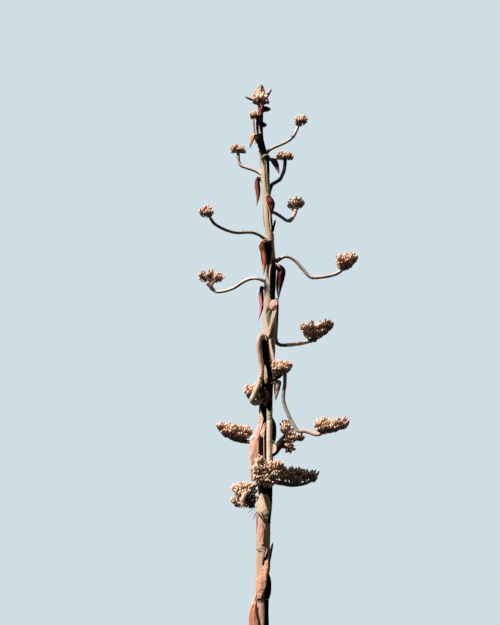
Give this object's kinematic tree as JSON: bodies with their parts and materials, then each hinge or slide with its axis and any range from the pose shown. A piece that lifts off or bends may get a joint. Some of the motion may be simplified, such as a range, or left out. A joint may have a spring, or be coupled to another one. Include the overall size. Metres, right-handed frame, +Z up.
{
  "type": "flowering agave plant",
  "caption": "Large flowering agave: a tall bare stalk with curved side branches that end in heads of buds, hanging dry bracts, and a rosette of thick leaves at the ground.",
  "frame": {"origin": "centre of the flat cut under the stem, at ground level", "axes": "+Z up the stalk; +X to the right and +Y away from the viewer of the picture"},
  "size_m": [1.2625, 1.282, 5.001],
  "materials": {
    "stalk": "matte",
    "branch": "matte",
    "buds": "matte",
    "bract": "matte",
    "leaf": "satin"
  },
  "bodies": {
    "root": {"stalk": "stalk", "branch_right_1": "branch", "branch_left_1": "branch", "branch_right_2": "branch", "branch_right_3": "branch", "branch_left_2": "branch", "branch_right_4": "branch", "branch_left_3": "branch", "branch_right_5": "branch", "branch_left_4": "branch", "branch_front_1": "branch", "branch_right_6": "branch", "branch_left_5": "branch", "branch_right_7": "branch", "branch_front_2": "branch", "branch_right_8": "branch", "branch_left_6": "branch", "branch_top": "branch", "branch_back_1": "branch", "branch_back_2": "branch", "branch_back_3": "branch", "head_right_1": "buds", "head_left_1": "buds", "head_right_2": "buds", "head_right_3": "buds", "head_left_2": "buds", "head_right_4": "buds", "head_left_3": "buds", "head_right_5": "buds", "head_left_4": "buds", "head_front_1": "buds", "head_right_6": "buds", "head_left_5": "buds", "head_right_7": "buds", "head_front_2": "buds", "head_right_8": "buds", "head_left_6": "buds", "head_top": "buds", "head_back_1": "buds", "head_back_2": "buds", "head_back_3": "buds", "head_crown": "buds", "bract_1": "bract", "bract_2": "bract", "bract_3": "bract", "bract_4": "bract", "bract_5": "bract", "bract_6": "bract", "bract_7": "bract", "bract_8": "bract", "rosette_1": "leaf", "rosette_2": "leaf", "rosette_3": "leaf", "rosette_4": "leaf", "rosette_5": "leaf"}
  },
  "joints": []
}
